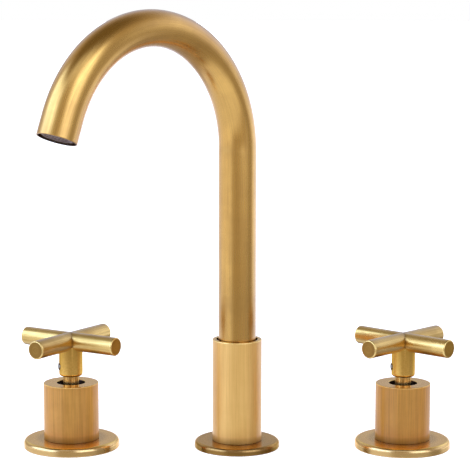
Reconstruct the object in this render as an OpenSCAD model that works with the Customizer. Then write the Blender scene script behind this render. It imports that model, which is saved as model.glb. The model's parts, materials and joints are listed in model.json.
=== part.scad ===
// Three-hole basin mixer: a swivelling gooseneck spout between two cross handles.
// Millimetres. The origin is on the deck, on the spout's axis. +Z is up, -Y points
// to the user, the hot valve stands at -X and the cold valve at +X.

/* [Layout] */
// Distance between the two valve axes (8 inch widespread)
valve_spacing = 203.2; // [180:0.1:260]
// Thickness of the deck that the lock nuts clamp
deck_t = 20; // [10:1:30]
// How far the spout is swung from the hot side toward the user
spout_swing = 48; // [0:1:180]
// Azimuth of the hot handle's first arm when the valve is shut
hot_arm_angle = -32; // [-60:1:60]
// Azimuth of the cold handle's first arm when the valve is shut
cold_arm_angle = -43; // [-60:1:60]

/* [Gooseneck] */
// Outer diameter of the bent tube
tube_d = 23; // [22.5:0.1:23.5]
// Wall of the bent tube
tube_wall = 1.5; // [1:0.1:1.8]
// Bend radius, measured to the tube's centre line
bend_r = 73; // [60:1:110]
// Angle through which the tube is bent
bend_angle = 159; // [140:1:180]
// Height at which the bend begins
bend_z = 182; // [150:1:260]
// Straight length between the bend and the outlet
outlet_straight = 12.5; // [2:1:30]

/* [Spout base] */
// Outer diameter of the spout's collar
spout_collar_d = 30.2; // [30:0.1:34]
// Height of the top of the spout's collar
spout_collar_top = 67.2; // [66:0.1:80]
// Diameter of the spout's flange
spout_flange_d = 52; // [48:0.5:60]
// Thickness of the spout's flange
spout_flange_t = 4.4; // [2.5:0.1:6]

/* [Valve base] */
// Outer diameter of the valve's collar
valve_collar_d = 33.6; // [33:0.1:38]
// Height of the top of the valve's collar
valve_collar_top = 40; // [38:0.1:43]
// Diameter of the opening that the spindle stands in
valve_collar_hole_d = 17.2; // [14:0.1:20]
// Diameter of the valve's flange
valve_flange_d = 58.4; // [50:0.1:66]
// Thickness of the valve's flange
valve_flange_t = 5.3; // [3:0.1:6]

/* [Cross handle] */
// Diameter of the handle's bars
bar_d = 11.2; // [10:0.1:12.4]
// Length of each bar, end to end
bar_l = 68.6; // [50:0.1:80]
// Height of the bars' centre line
bar_z = 65.5; // [64:0.1:72]
// Diameter of the neck below the bars
neck_d = 14.4; // [13:0.1:16]
// Height of the neck's lower face
neck_z = 44.2; // [43.5:0.1:47]
// Quarter turn of the valves
handle_travel = 90; // [80:1:100]

/* [Threads] */
// Outside diameter of the three threaded shanks (G 3/4)
shank_d = 26.4; // [26:0.1:26.6]
// Outside diameter of the supply tails (G 1/2)
supply_d = 20.96; // [20.8:0.01:21.2]
// Outside diameter of the side ports (G 3/8)
port_d = 16.66; // [16.4:0.01:16.8]
// How far the side ports are turned back from the line between the valves
port_turn = 30; // [20:1:45]

/* [Hidden] */
$fn = 96;
over = 1;              // how far a cut runs past the face it goes through
slip = 0.05;           // radial clearance of running and threaded fits
face_gap = 0.05;       // gap between flat faces that slide on each other
pocket_gap = 0.1;      // radial gap of pieces that stand still in a bore

// Gooseneck
tube_r = tube_d / 2;
bore_r = tube_r - tube_wall;
end_relief = 0.03;
end_overlap = 0.5;
outlet_x = bend_r * (1 - cos(bend_angle)) + outlet_straight * sin(bend_angle);
outlet_z = bend_z + bend_r * sin(bend_angle) + outlet_straight * cos(bend_angle);

// Swivel joint inside the spout's collar
shank_r = shank_d / 2;
shank_thread_top = 16;
shank_top = 44;
glide_t = 2;
foot_z = shank_top + glide_t + face_gap;
collar_bore_r = tube_r + 1.1;
swivel_r = 8;
swivel_floor = 6;
swivel_ring_z = [14, 24];
swivel_groove_z = 34;
tail_bore_r = 5.5;
tail_top = foot_z + 14;
screw_r = 2;
screw_access_r = 2.7;
bush_top_gap = 2;
bush_h = 8;

// Spout below the deck
spigot_r = 9.5;
spigot_top = -47;
spigot_bottom = -56;
tee_top = -47;
tee_bottom = -76;
tee_r = 13;
tee_port_z = -65;
tee_port_reach = 33;
tee_port_bore_r = 5;
port_boss_r = 10.2;
port_boss_reach = 15.5;
water_r = 6;

// Outlet, measured up the tube from its rim
aerator_r = bore_r - 1;
sleeve_lip = 0.8;
sleeve_top = 12;
cartridge_z = 1.2;
cartridge_h = 6;
outlet_washer_t = 1.4;
core_r = aerator_r - 1.5;
core_pitch = 2.1;
screen_pitch = 1.7;

// Clamping parts below the deck
washer_r = 20;
rubber_t = 3;
metal_t = 1.5;
nut_h = 8;
nut_flats = 36;
rubber_z = -deck_t - rubber_t;
metal_z = rubber_z - metal_t;
nut_z = metal_z - nut_h;

// Flange gaskets
gasket_t = 1.2;
gasket_margin = 3.2;
gasket_inner_r = 15.5;

// Valve body
body_top = 15;
chamber_r = supply_d / 2;
chamber_floor = -56;
body_bottom = -62;
supply_bottom = -78;
port_z = -50;
port_reach = 31;
port_bore_r = 4.6;
riser_r = 7;
riser_bore_r = 5.5;
riser_bottom = -60;
riser_top = -14;

// Ceramic cartridge
barrel_r = 9.2;
cavity_r = 7.9;
barrel_bottom = -11.5;
seal_top = -10;
disc_t = 3;
disc_r = 7.8;
fixed_disc_z = seal_top;
turning_disc_z = fixed_disc_z + disc_t + face_gap;
carrier_z = turning_disc_z + disc_t;
carrier_top = 1;
carrier_r = 7.5;
stop_top = 4;
stop_bore_r = 5;
lug_width = 60;
stop_play = 1;
hex_z = body_top + 1;
hex_flats = 24;
hex_h = 6;
gland_top = 30;
gland_r = 7.5;
stem_r = 4.95;
stem_ring_z = [18, 23];
clip_z = gland_top + 0.1;
clip_t = 1;
spline_tip_r = 4.85;
spline_root_r = 4.35;
spline_teeth = 20;
spline_z = 32;
spline_top = 58;

// ---- shared shapes ----

// A tube section about Z, from z0 up to z1
module ring(r_out, r_in, z0, z1) {
    difference() {
        translate([0, 0, z0]) cylinder(r = r_out, h = z1 - z0);
        translate([0, 0, z0 - over]) cylinder(r = r_in, h = z1 - z0 + 2 * over);
    }
}

// A hollow body of revolution; profile is a list of [radius, height]
module turned(profile) {
    rotate_extrude() polygon(profile);
}

// An O-ring about Z whose section has radius r_wire
module o_ring(r_centre, r_wire, z) {
    translate([0, 0, z]) rotate_extrude() translate([r_centre, 0]) circle(r = r_wire, $fn = 32);
}

// A sector of a ring about Z, starting at angle a0
module sector(r_out, r_in, z0, z1, a0, sweep) {
    translate([0, 0, z0]) rotate([0, 0, a0]) rotate_extrude(angle = sweep)
        translate([r_in, 0]) square([r_out - r_in, z1 - z0]);
}

// A plain cylinder from z0 up to z1
module rod(r, z0, z1) {
    translate([0, 0, z0]) cylinder(r = r, h = z1 - z0);
}

// A hexagonal prism from z0 up to z1, given its width across flats
module hex_rod(flats, z0, z1) {
    translate([0, 0, z0]) cylinder(r = flats / sqrt(3), h = z1 - z0, $fn = 6);
}

// Centres of a hexagonal grid that lie within radius r_max
function hex_grid(pitch, r_max) = [
    for (row = [-8 : 8], col = [-8 : 8])
        let (p = [pitch * (col + (row % 2) / 2), pitch * row * sqrt(3) / 2])
        if (norm(p) < r_max) p
];

// Outline of a splined shaft
function spline_outline(teeth, r_root, r_tip) = [
    for (i = [0 : teeth - 1], step = [[0, r_root], [0.3, r_root], [0.5, r_tip], [0.8, r_tip]])
        let (a = (i + step[0]) * 360 / teeth)
        step[1] * [cos(a), sin(a)]
];

// ---- places ----

// Turns +X toward the way the spout points
module toward_outlet() {
    rotate([0, 0, 180 + spout_swing]) children();
}

// Puts the origin at the centre of the outlet's rim, with +Z up into the tube
module at_outlet() {
    toward_outlet() translate([outlet_x, 0, outlet_z]) rotate([0, bend_angle - 180, 0]) children();
}

// Puts the origin on a valve's axis; side is -1 for hot and 1 for cold
module at_valve(side) {
    translate([side * valve_spacing / 2, 0, 0]) children();
}

// Swaps the direction of turning for the cold valve, which opens the other way
module handed(side) {
    if (side > 0) mirror([0, 1, 0]) children();
    else children();
}

// Turns +X the way a valve's side port points: toward the spout and back
module along_port(side) {
    rotate([0, 0, side < 0 ? port_turn : 180 - port_turn]) children();
}

// ---- gooseneck ----

// A pipe along +Z from z0 up to z1, whose wall is thinner by relief on both sides
module pipe(z0, z1, relief = 0) {
    ring(tube_r - relief, bore_r + relief, z0, z1);
}

// One length of pipe: upright leg, bend and outlet end. The end is dressed by
// end_relief, inside and out, where it leaves the bend.
module spout_tube() {
    color("#b98a48") toward_outlet() {
        pipe(foot_z, bend_z);
        translate([bend_r, 0, bend_z]) rotate([90, 0, 180]) {
            rotate_extrude(angle = bend_angle) translate([bend_r, 0]) difference() {
                circle(r = tube_r);
                circle(r = bore_r);
            }
            rotate([0, 0, bend_angle]) translate([bend_r, 0, 0]) rotate([-90, 0, 0])
                pipe(-end_overlap, outlet_straight, end_relief);
        }
    }
}

// Turned tail that is brazed into the tube's foot and runs in the shank
module swivel_tail() {
    groove_h = 2 * screw_r + 0.4;
    color("#c8a14e") difference() {
        union() {
            rod(swivel_r - 0.03, swivel_floor + over, foot_z);
            rod(bore_r - slip, foot_z, tail_top);
        }
        rod(tail_bore_r, swivel_floor, tail_top + over);
        for (z = swivel_ring_z) ring(swivel_r + over, swivel_r - 1.55, z - 1, z + 1);
        ring(swivel_r + over, swivel_r - 1.6, swivel_groove_z - groove_h / 2,
            swivel_groove_z + groove_h / 2);
    }
}

module swivel_o_rings() {
    wire = 0.76;
    color("#26262a") for (z = swivel_ring_z) o_ring(swivel_r - 0.02 - wire, wire, z);
}

// ---- outlet ----

module outlet_sleeve() {
    step_z = cartridge_z + cartridge_h + outlet_washer_t;
    outer_r = bore_r - pocket_gap;
    color("#c8a14e") at_outlet() turned([
        [aerator_r, sleeve_lip], [outer_r, sleeve_lip], [outer_r, sleeve_top],
        [aerator_r - 1, sleeve_top], [aerator_r - 1, step_z], [aerator_r, step_z]
    ]);
}

module aerator_cartridge() {
    wall = 1.4;
    color("#8d8791") at_outlet() difference() {
        ring(aerator_r - slip, core_r, cartridge_z, cartridge_z + cartridge_h);
        for (a = [0 : 60 : 300]) rotate([0, 0, a])
            translate([aerator_r, 0, cartridge_z]) cube([wall, wall, 2 * wall], center = true);
    }
}

module aerator_core() {
    color("#9a949c") at_outlet() difference() {
        rod(core_r - slip, cartridge_z + 0.6, cartridge_z + 3.6);
        for (p = hex_grid(core_pitch, core_r - 1)) translate([p[0], p[1], cartridge_z - over])
            cylinder(r = core_pitch * 0.46, h = 4 + 2 * over, $fn = 6);
    }
}

module aerator_screen() {
    color("#b9bdc1") at_outlet() difference() {
        rod(core_r - slip, cartridge_z + 5, cartridge_z + 5.5);
        for (p = hex_grid(screen_pitch, core_r - 1)) translate([p[0], p[1], cartridge_z + 4])
            cylinder(r = screen_pitch * 0.34, h = 3, $fn = 24);
    }
}

module aerator_washer() {
    z0 = cartridge_z + cartridge_h;
    color("#26262a") at_outlet()
        ring(aerator_r - pocket_gap, aerator_r - 2.4, z0, z0 + outlet_washer_t);
}

// ---- spout base ----

module spout_collar() {
    r = spout_collar_d / 2;
    edge = 0.6;
    color("#bd8c49") difference() {
        turned([
            [shank_r + slip, spout_flange_t], [r, spout_flange_t], [r, spout_collar_top - edge],
            [r - edge, spout_collar_top], [collar_bore_r, spout_collar_top],
            [collar_bore_r, shank_thread_top], [shank_r + slip, shank_thread_top]
        ]);
        translate([0, 0, swivel_groove_z]) rotate([-90, 0, 0]) rod(screw_access_r, 0, r + over);
    }
}

// A flange with a bevelled rim and a recess below for its gasket
module flange(r, t) {
    edge = t * 0.3;
    difference() {
        turned([
            [shank_r + pocket_gap, 0], [r, 0], [r, t - edge], [r - edge, t],
            [shank_r + pocket_gap, t]
        ]);
        ring(r - gasket_margin, gasket_inner_r, -over, gasket_t);
    }
}

module flange_gasket(r) {
    ring(r - gasket_margin - pocket_gap, gasket_inner_r + pocket_gap, 0, gasket_t);
}

module spout_flange() {
    color("#a9783c") flange(spout_flange_d / 2, spout_flange_t);
}

module spout_flange_gasket() {
    color("#d8d5cc") flange_gasket(spout_flange_d / 2);
}

module spout_shank() {
    color("#c8a14e") difference() {
        union() {
            rod(spigot_r, spigot_bottom, spigot_top);
            rod(shank_r, spigot_top, shank_thread_top);
            rod(collar_bore_r - pocket_gap, shank_thread_top, shank_top);
        }
        rod(water_r, spigot_bottom - over, shank_top);
        rod(swivel_r, swivel_floor, shank_top + over);
        translate([0, 0, swivel_groove_z]) rotate([-90, 0, 0])
            rod(screw_r + slip, 0, collar_bore_r + over);
    }
}

// Low-friction bush that steadies the tube in the collar's mouth
module spout_guide_bush() {
    z1 = spout_collar_top - bush_top_gap;
    color("#e9e6dc") ring(collar_bore_r - slip, tube_r + slip, z1 - bush_h, z1);
}

module spout_glide_washer() {
    color("#e9e6dc") ring(collar_bore_r - 0.3, swivel_r + 0.2, shank_top, shank_top + glide_t);
}

// Socket set screw whose point runs in the tail's groove and holds the spout down
module spout_set_screw() {
    color("#b9bdc1") translate([0, 0, swivel_groove_z]) rotate([-90, 0, 0]) difference() {
        rod(screw_r, swivel_r - 1.2, collar_bore_r - 0.4);
        hex_rod(2, collar_bore_r - 2.4, collar_bore_r + over);
    }
}

// ---- clamping parts, the same at all three holes ----

module rubber_washer() {
    color("#26262a") ring(washer_r, shank_r + pocket_gap, rubber_z, rubber_z + rubber_t);
}

module metal_washer() {
    color("#b9bdc1") ring(washer_r, shank_r + pocket_gap, metal_z, metal_z + metal_t);
}

module lock_nut() {
    color("#c8a14e") difference() {
        hex_rod(nut_flats, nut_z, nut_z + nut_h);
        rod(shank_r + slip, nut_z - over, nut_z + nut_h + over);
    }
}

// ---- supply tee below the spout ----

// The outside of a hose port along +X at height z, with the boss that the hose's nut meets
module port(z, reach) {
    translate([0, 0, z]) rotate([0, 90, 0]) {
        rod(port_boss_r, 0, port_boss_reach);
        rod(port_d / 2, 0, reach);
    }
}

module spout_tee() {
    color("#c8a14e") difference() {
        union() {
            rod(tee_r, tee_bottom, tee_top);
            for (side = [-1, 1]) along_port(side) port(tee_port_z, tee_port_reach);
        }
        rod(spigot_r + slip, spigot_bottom - 1, tee_top + over);
        rod(water_r, tee_port_z - tee_port_bore_r, tee_top);
        for (side = [-1, 1]) along_port(side) translate([0, 0, tee_port_z]) rotate([0, 90, 0])
            rod(tee_port_bore_r, 0, tee_port_reach + over);
    }
}

module spout_tee_seal() {
    color("#7d3b2a") ring(spigot_r - pocket_gap, water_r, spigot_bottom - 1, spigot_bottom);
}

// ---- cross handle ----

module bar() {
    edge = 0.6;
    half = bar_l / 2;
    rotate([0, 90, 0]) rotate_extrude() polygon([
        [0, -half], [bar_d / 2 - edge, -half], [bar_d / 2, -half + edge],
        [bar_d / 2, half - edge], [bar_d / 2 - edge, half], [0, half]
    ]);
}

// The grub screw points at the spindle from the corner between two arms
module at_grub_screw() {
    translate([0, 0, (neck_z + bar_z - bar_d / 2) / 2 - 2]) rotate([0, 0, 225])
        rotate([0, 90, 0]) children();
}

module cross_handle(arm_angle) {
    edge = 0.8;
    neck_r = neck_d / 2;
    color("#c2934b") rotate([0, 0, arm_angle]) difference() {
        union() {
            translate([0, 0, bar_z]) {
                bar();
                rotate([0, 0, 90]) bar();
            }
            turned([
                [0, neck_z], [neck_r - edge, neck_z], [neck_r, neck_z + edge],
                [neck_r, bar_z - bar_d / 4], [0, bar_z - bar_d / 4]
            ]);
        }
        rod(spline_tip_r + slip, neck_z - over, spline_top + 0.5);
        at_grub_screw() {
            rod(screw_r + slip, 0, neck_r + over);
            rod(screw_r + 0.6, neck_r - 0.9, neck_r + over);
        }
    }
}

module grub_screw(arm_angle) {
    color("#c9ccd0") rotate([0, 0, arm_angle]) at_grub_screw() difference() {
        rod(screw_r, spline_tip_r, neck_d / 2 + 0.6);
        hex_rod(2, neck_d / 2 - 1.2, neck_d / 2 + over);
    }
}

// ---- cartridge ----

// Two opposite ports in a ceramic disc
module disc_ports(z0, z1) {
    for (a = [0, 180]) sector(disc_r - 1.4, 1.4, z0 - over, z1 + over, a - 38, 76);
}

module fixed_disc() {
    color("#f1efe9") difference() {
        rod(disc_r, fixed_disc_z, fixed_disc_z + disc_t);
        disc_ports(fixed_disc_z, fixed_disc_z + disc_t);
    }
}

module turning_disc() {
    z1 = turning_disc_z + disc_t;
    color("#e4e0d6") difference() {
        rod(disc_r - 0.1, turning_disc_z, z1);
        rotate([0, 0, 90]) disc_ports(turning_disc_z, z1);
    }
}

// Stem with its disc carrier, stop lug, ring grooves, clip groove and spline
module spindle() {
    color("#c8a14e") difference() {
        union() {
            rod(carrier_r, carrier_z, carrier_top);
            rod(stem_r, carrier_top, spline_z);
            sector(carrier_r, 0, carrier_top, stop_top - face_gap, 0, lug_width);
            translate([0, 0, spline_z]) linear_extrude(spline_top - spline_z)
                polygon(spline_outline(spline_teeth, spline_root_r, spline_tip_r));
        }
        for (a = [90, 270])
            sector(carrier_r + over, 2.2, carrier_z - over, carrier_top - 1.2, a - 30, 60);
        for (z = stem_ring_z) ring(stem_r + over, stem_r - 1.1, z - 0.7, z + 0.7);
        ring(stem_r + over, stem_r - 0.9, clip_z - 0.05, clip_z + clip_t + 0.05);
    }
}

module spindle_o_rings() {
    wire = 0.53;
    color("#26262a") for (z = stem_ring_z) o_ring(stem_r + 0.02 - wire, wire, z);
}

module spindle_clip() {
    color("#b9bdc1") sector(stem_r + 1.9, stem_r - 0.85, clip_z, clip_z + clip_t, 30, 300);
}

module seat_seal() {
    color("#26262a") ring(cavity_r - 0.2, riser_bore_r + 0.3, riser_top, seal_top);
}

// Brass headwork: barrel with side windows, thread, hexagon and gland
module cartridge_body() {
    stop_r = cavity_r - 0.2;
    stop_sweep = lug_width + handle_travel + 2 * stop_play;
    color("#c8a14e") difference() {
        union() {
            rod(barrel_r, barrel_bottom, stop_top);
            rod(chamber_r - slip, stop_top, hex_z);
            hex_rod(hex_flats, hex_z, hex_z + hex_h);
            rod(gland_r, hex_z + hex_h, gland_top);
        }
        rod(cavity_r, barrel_bottom - over, carrier_top + face_gap);
        sector(stop_r, 0, carrier_top, stop_top, -stop_play, stop_sweep);
        rod(stop_bore_r, carrier_top, gland_top + over);
        for (a = [90, 270]) rotate([0, 0, a]) translate([cavity_r, 0, carrier_z + 1.7])
            cube([4, 7, 3], center = true);
    }
}

module cartridge_gasket() {
    color("#7d3b2a") ring(shank_r - 0.4, chamber_r + pocket_gap, body_top, hex_z);
}

// ---- valve base ----

module valve_collar() {
    r = valve_collar_d / 2;
    edge = 0.7;
    plate_t = 3;
    inner_r = r - 2;
    color("#b58342") turned([
        [shank_r + slip, valve_flange_t], [r, valve_flange_t], [r, valve_collar_top - edge],
        [r - edge, valve_collar_top], [valve_collar_hole_d / 2 + edge / 2, valve_collar_top],
        [valve_collar_hole_d / 2, valve_collar_top - edge / 2],
        [valve_collar_hole_d / 2, valve_collar_top - plate_t],
        [inner_r, valve_collar_top - plate_t], [inner_r, body_top - 1],
        [shank_r + slip, body_top - 1]
    ]);
}

module valve_flange() {
    color("#a9783c") flange(valve_flange_d / 2, valve_flange_t);
}

module valve_flange_gasket() {
    color("#d8d5cc") flange_gasket(valve_flange_d / 2);
}

// Threaded body: supply tail below, side port, chamber above
module valve_body() {
    color("#c8a14e") difference() {
        union() {
            rod(shank_r, body_bottom, body_top);
            rod(supply_d / 2, supply_bottom, body_bottom);
            port(port_z, port_reach);
        }
        rod(chamber_r, chamber_floor, body_top + over);
        rod(riser_r, riser_bottom, chamber_floor + over);
        rod(riser_bore_r, supply_bottom - over, riser_bottom + over);
        translate([0, 0, port_z]) rotate([0, 90, 0]) rod(port_bore_r, riser_r + 1, port_reach + over);
    }
}

// Inner tube that carries the supply up to the cartridge's seat
module inlet_riser() {
    color("#c8a14e") ring(riser_r - slip, riser_bore_r, riser_bottom, riser_top);
}

// ---- the assembly ----

spout_tube();
swivel_tail();
swivel_o_rings();
outlet_sleeve();
aerator_cartridge();
aerator_core();
aerator_screen();
aerator_washer();

spout_collar();
spout_flange();
spout_flange_gasket();
spout_shank();
spout_guide_bush();
spout_glide_washer();
spout_set_screw();
rubber_washer();  // spout_rubber_washer
metal_washer();  // spout_metal_washer
lock_nut();  // spout_lock_nut
spout_tee();
spout_tee_seal();

at_valve(-1) cross_handle(hot_arm_angle);  // hot_cross_handle
at_valve(-1) grub_screw(hot_arm_angle);  // hot_grub_screw
at_valve(-1) handed(-1) spindle();  // hot_spindle
at_valve(-1) spindle_o_rings();  // hot_spindle_o_rings
at_valve(-1) spindle_clip();  // hot_spindle_clip
at_valve(-1) turning_disc();  // hot_turning_disc
at_valve(-1) fixed_disc();  // hot_fixed_disc
at_valve(-1) seat_seal();  // hot_seat_seal
at_valve(-1) handed(-1) cartridge_body();  // hot_cartridge_body
at_valve(-1) cartridge_gasket();  // hot_cartridge_gasket
at_valve(-1) valve_collar();  // hot_collar
at_valve(-1) valve_flange();  // hot_flange
at_valve(-1) valve_flange_gasket();  // hot_flange_gasket
at_valve(-1) along_port(-1) valve_body();  // hot_valve_body
at_valve(-1) inlet_riser();  // hot_inlet_riser
at_valve(-1) rubber_washer();  // hot_rubber_washer
at_valve(-1) metal_washer();  // hot_metal_washer
at_valve(-1) lock_nut();  // hot_lock_nut

at_valve(1) cross_handle(cold_arm_angle);  // cold_cross_handle
at_valve(1) grub_screw(cold_arm_angle);  // cold_grub_screw
at_valve(1) handed(1) spindle();  // cold_spindle
at_valve(1) spindle_o_rings();  // cold_spindle_o_rings
at_valve(1) spindle_clip();  // cold_spindle_clip
at_valve(1) turning_disc();  // cold_turning_disc
at_valve(1) fixed_disc();  // cold_fixed_disc
at_valve(1) seat_seal();  // cold_seat_seal
at_valve(1) handed(1) cartridge_body();  // cold_cartridge_body
at_valve(1) cartridge_gasket();  // cold_cartridge_gasket
at_valve(1) valve_collar();  // cold_collar
at_valve(1) valve_flange();  // cold_flange
at_valve(1) valve_flange_gasket();  // cold_flange_gasket
at_valve(1) along_port(1) valve_body();  // cold_valve_body
at_valve(1) inlet_riser();  // cold_inlet_riser
at_valve(1) rubber_washer();  // cold_rubber_washer
at_valve(1) metal_washer();  // cold_metal_washer
at_valve(1) lock_nut();  // cold_lock_nut
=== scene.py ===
"""The looks of a three-hole basin mixer in brushed antique brass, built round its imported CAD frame.

Metres. +Z is up, -Y points to the user, the hot valve stands at -X and the cold valve at +X.
The deck's surface is z = 0.
"""

import json
import math

import bmesh
import bpy
import numpy as np
from mathutils import Matrix, Quaternion, Vector


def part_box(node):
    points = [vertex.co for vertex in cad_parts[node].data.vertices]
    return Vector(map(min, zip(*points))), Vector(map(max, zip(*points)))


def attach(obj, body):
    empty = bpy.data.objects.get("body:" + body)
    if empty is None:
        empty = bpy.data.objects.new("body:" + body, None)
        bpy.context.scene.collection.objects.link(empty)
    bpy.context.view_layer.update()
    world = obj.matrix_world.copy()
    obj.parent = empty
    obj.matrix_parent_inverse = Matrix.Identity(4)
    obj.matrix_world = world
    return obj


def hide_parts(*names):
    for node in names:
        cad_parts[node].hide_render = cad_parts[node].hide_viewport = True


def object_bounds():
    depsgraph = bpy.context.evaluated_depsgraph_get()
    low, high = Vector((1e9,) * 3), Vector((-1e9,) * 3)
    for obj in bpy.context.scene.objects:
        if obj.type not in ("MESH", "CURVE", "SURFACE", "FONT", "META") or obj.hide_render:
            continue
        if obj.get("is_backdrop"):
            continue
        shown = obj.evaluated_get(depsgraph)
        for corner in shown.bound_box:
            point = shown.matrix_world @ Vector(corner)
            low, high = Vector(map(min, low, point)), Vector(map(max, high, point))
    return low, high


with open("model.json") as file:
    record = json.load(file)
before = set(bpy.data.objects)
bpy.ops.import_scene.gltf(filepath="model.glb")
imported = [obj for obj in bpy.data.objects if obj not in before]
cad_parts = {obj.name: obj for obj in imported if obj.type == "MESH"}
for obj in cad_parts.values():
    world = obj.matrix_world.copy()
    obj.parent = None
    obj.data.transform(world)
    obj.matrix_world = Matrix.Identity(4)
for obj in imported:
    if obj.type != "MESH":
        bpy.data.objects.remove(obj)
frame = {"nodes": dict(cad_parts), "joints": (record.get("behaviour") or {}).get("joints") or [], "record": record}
CAD_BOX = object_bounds()

# ---- driving sizes, with the rest read from the frame ----

MM = 0.001
TUBE_WALL = 1.5 * MM
ARM_ANGLE = {"hot": math.radians(-32), "cold": math.radians(-43)}
PORT_AZIMUTH = {"hot": 30, "cold": 150}
PITCH_SHANK = 25.4 * MM / 14        # G 3/4 and G 1/2
PITCH_PORT = 25.4 * MM / 19         # G 3/8
THREAD_TOP = -2 * MM                # the shanks' threads end just below the deck's surface
SLIP = 0.05 * MM                    # gap between a collar's or nut's bore and its shank
PIN_R = 0.3 * MM                    # hole on a turned blank's axis, filled or bored out later
HEAD_Z = 16 * MM                    # where the spout's shank widens to its head
FLANGE_RECESS = 1.2 * MM
BAR_R = 5.6 * MM                    # the handles' crossing bars
BAR_HALF = 34.25 * MM
HANDLE_NECK_R = 7.2 * MM
SCREW_HOLE_R = 2.05 * MM
BEND_OVALITY = 0.17                 # how much the inside of the bend is flattened
FOOT_SHADE = 4.5 * MM                # how far up a collar's foot is darkened with painted shade
SPOUT_SHADED_R = 15.7 * MM          # inside this radius a flange is fully darkened with painted shade
VALVE_SHADED_R = 19.3 * MM
HOLD = 0.25 * MM                    # how far the holding stations lie beside a fillet
CORNER_WEAR, FILLET_WEAR = 0.6, 1.0
SHARP = math.radians(32)            # creases above this angle stay sharp

JOINTS = {j["name"]: j for j in frame["joints"]}
VALVE_X = {side: JOINTS[side + "_turn"]["pos_m"][0] for side in ("hot", "cold")}


def middle(node):
    """The middle of a CAD node's box."""
    low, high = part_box(node)
    return np.array((low + high) / 2)


def outlet_rim():
    """The centre of the tube's open end, and the unit vector that points out of it.

    The vector starts from the aerator's pieces. Fitting a plane to the rim corrects it.
    """
    vertices = frame["nodes"]["spout_tube"].data.vertices
    points = np.empty(len(vertices) * 3)
    vertices.foreach_get("co", points)
    points = points.reshape(-1, 3)
    core = middle("aerator_core")
    points = points[np.linalg.norm(points - core, axis=1) < 2 * TUBE_R]
    outward = core - middle("aerator_washer")
    for _ in range(3):
        outward /= np.linalg.norm(outward)
        far = points @ outward
        rim = points[far > far.max() - 0.4 * MM]
        flat = np.linalg.svd(rim - rim.mean(axis=0))[2][2]
        outward = flat * np.sign(flat @ outward)
    return Vector(rim.mean(axis=0)), Vector(outward)


TUBE_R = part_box("spout_tube")[1].x
TUBE_BORE_R = TUBE_R - TUBE_WALL
FOOT_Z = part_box("spout_tube")[0].z
TUBE_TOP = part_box("spout_tube")[1].z
SHANK_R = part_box("spout_shank")[1].x
SPOUT_COLLAR_BORE_R = TUBE_R + 1.1 * MM


# ---- places along an axis ----

class Straight:
    """An axis through origin along direction; a station's place is its distance along it.

    at(s) gives the axis's point at s and two directions across it.
    """

    def __init__(self, origin=(0, 0, 0), direction=(0, 0, 1), first=(1, 0, 0)):
        self.origin = Vector(origin)
        self.axis = Vector(direction).normalized()
        self.first = Vector(first)
        self.second = self.axis.cross(self.first)

    def at(self, s):
        return self.origin + self.axis * s, self.first, self.second


class Gooseneck:
    """The tube's centre line, measured from its foot: a leg, one bend and a straight end.

    The rim's place and direction and the height of the tube's top fix the bend. at(s) gives
    the line's point at s, the direction to the inside of the bend and the one to its side.
    """

    def __init__(self):
        rim, outward = outlet_rim()
        self.out = Vector((rim.x, rim.y, 0)).normalized()
        self.up = Vector((0, 0, 1))
        self.side = self.up.cross(self.out)
        self.angle = math.atan2(outward.dot(self.out), outward.z)
        sin, cos = math.sin(self.angle), math.cos(self.angle)
        reach = rim.dot(self.out)
        drop = TUBE_TOP - TUBE_R - rim.z
        self.radius, straight = np.linalg.solve([[1 - cos, sin], [1 - sin, -cos]], [reach, drop])
        self.bend_z = TUBE_TOP - TUBE_R - self.radius
        self.leg = self.bend_z - FOOT_Z
        self.arc = self.radius * self.angle
        self.length = self.leg + self.arc + straight

    def at(self, s):
        turn = min(max((s - self.leg) / self.radius, 0.0), self.angle)
        along = self.out * math.sin(turn) + self.up * math.cos(turn)
        across = self.out * math.cos(turn) - self.up * math.sin(turn)
        centre = self.out * self.radius * (1 - math.cos(turn))
        centre += self.up * (self.bend_z + self.radius * math.sin(turn))
        centre += along * (min(s - self.leg, 0.0) + max(s - self.leg - self.arc, 0.0))
        return centre, across, self.side


TUBE_AXIS = Gooseneck()


# ---- mesh building ----

def rounded(corners, steps=5):
    """A closed outline from corners (radius, place, fillet, material), with each fillet as an arc.

    Returns stations (radius, place, wear and painted shade, material). A pair of holding stations
    beside each fillet keeps the flats flat under smooth shading.
    """
    stations = []
    count = len(corners)
    for i, (r, z, fillet, material) in enumerate(corners):
        if not fillet:
            stations.append((r, z, CORNER_WEAR, material))
            continue
        here = Vector((r, z))
        back = Vector(corners[i - 1][:2]) - here
        ahead = Vector(corners[(i + 1) % count][:2]) - here
        limit = 0.45 * min(back.length, ahead.length)
        back.normalize()
        ahead.normalize()
        last = corners[i - 1][3]
        half = back.angle(ahead) / 2
        reach = min(fillet / math.tan(half), limit)
        radius = reach * math.tan(half)
        hold = min(reach + HOLD, limit * 1.05)
        entry = here + back * hold
        stations.append((entry.x, entry.y, 0.0, last))
        centre = here + (back + ahead).normalized() * (radius / math.sin(half))
        start = here + back * reach - centre
        sweep = math.pi - 2 * half
        turning = 1 if back.x * ahead.y - back.y * ahead.x < 0 else -1
        for k in range(steps + 1):
            a = turning * sweep * k / steps
            x = start.x * math.cos(a) - start.y * math.sin(a)
            y = start.x * math.sin(a) + start.y * math.cos(a)
            side = last if k < steps / 2 else material
            stations.append((centre.x + x, centre.y + y, FILLET_WEAR, side))
        leave = here + ahead * hold
        stations.append((leave.x, leave.y, 0.0, material))
    return stations


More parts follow.
